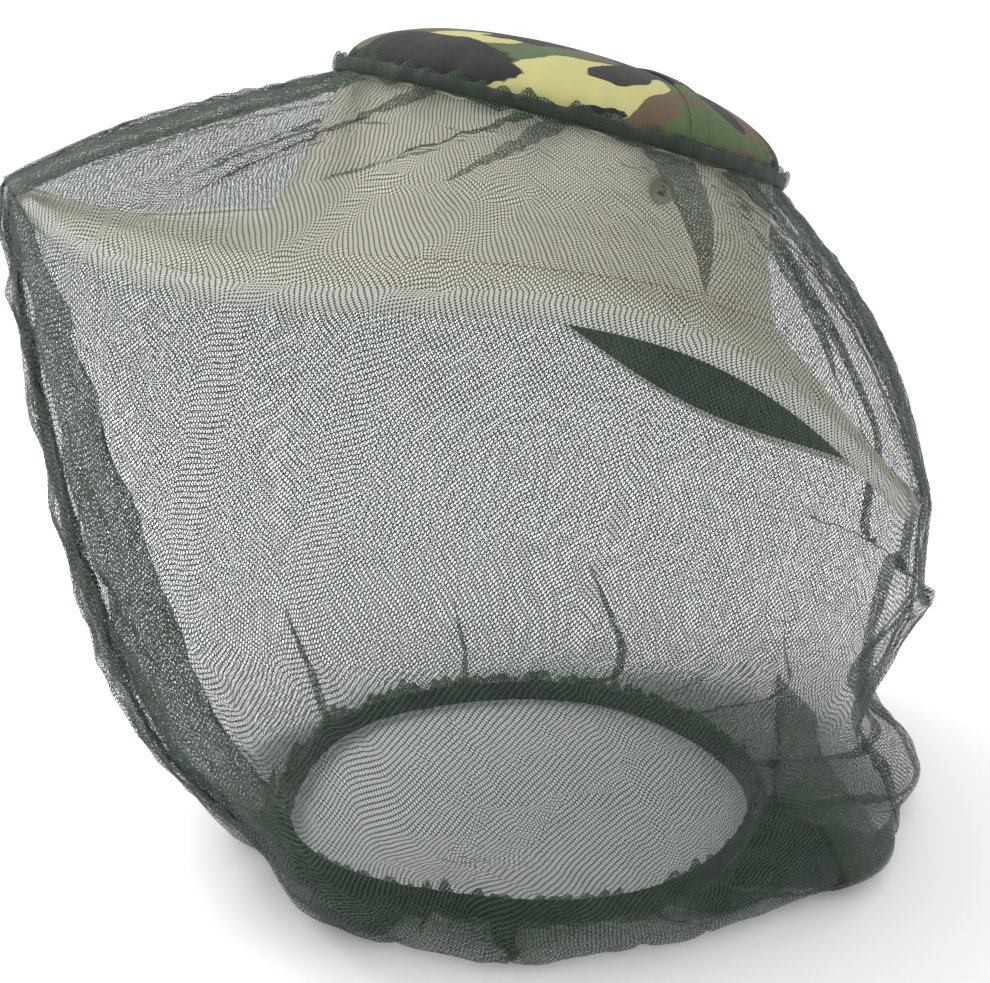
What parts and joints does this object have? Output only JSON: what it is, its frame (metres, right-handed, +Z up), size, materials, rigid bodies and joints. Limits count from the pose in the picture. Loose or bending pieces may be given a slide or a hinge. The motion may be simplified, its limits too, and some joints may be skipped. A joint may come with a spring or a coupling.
{
  "type": "beekeeping veil",
  "caption": "Net veil with a cloth cap and an elastic neck hem, worn over a wide-brimmed sun hat that holds the net off the face.",
  "frame": {"origin": "centre of the hat's head opening, in the plane of its lowest rim, where the wearer's head goes in", "axes": "+Z up, the wearer faces -Y, and the wearer's left is +X; the hat leans back 15 degrees about X"},
  "size_m": [0.3894, 0.4542, 0.4032],
  "materials": {
    "tan_cotton": "plain weave, matt",
    "hat_core": "stiff pressed fibre, matt",
    "green_cloth": "plain weave, matt",
    "pale_welt": "corded binding, matt",
    "sweatband": "satin",
    "vent_metal": "aged",
    "camouflage_cloth": "printed twill, matt",
    "green_net": "open knitted mesh",
    "green_tape": "woven tape",
    "black_elastic": "woven rib, matt"
  },
  "bodies": {
    "hat": {"crown_cover": "tan_cotton", "crown_core": "hat_core", "crown_band": "tan_cotton", "brim_cover": "tan_cotton", "brim_core": "hat_core", "brim_lining": "green_cloth", "brim_welt": "pale_welt", "sweatband": "sweatband", "vent_eyelet_left": "vent_metal", "vent_washer_left": "vent_metal", "vent_eyelet_right": "vent_metal", "vent_washer_right": "vent_metal"},
    "veil": {"cap_front_panel": "camouflage_cloth", "cap_rear_panel": "camouflage_cloth", "cap_seam": "camouflage_cloth", "crown_casing": "green_net", "crown_elastic": "black_elastic", "upper_net": "green_net", "upper_net_seam": "green_tape", "face_net": "green_net", "face_net_seam": "green_tape", "neck_net": "green_net"},
    "hem": {"hem_casing": "green_net", "neck_elastic": "black_elastic"}
  },
  "joints": [
    {"name": "veil_lift", "type": "slide", "parent": "hat", "child": "veil", "axis": [0, 0, 1], "range_m": [0, 0.025]},
    {"name": "hem_lift", "type": "slide", "parent": "veil", "child": "hem", "axis": [0, 0, 1], "range_m": [0, 0.09], "deforming": ["neck_net"]}
  ]
}
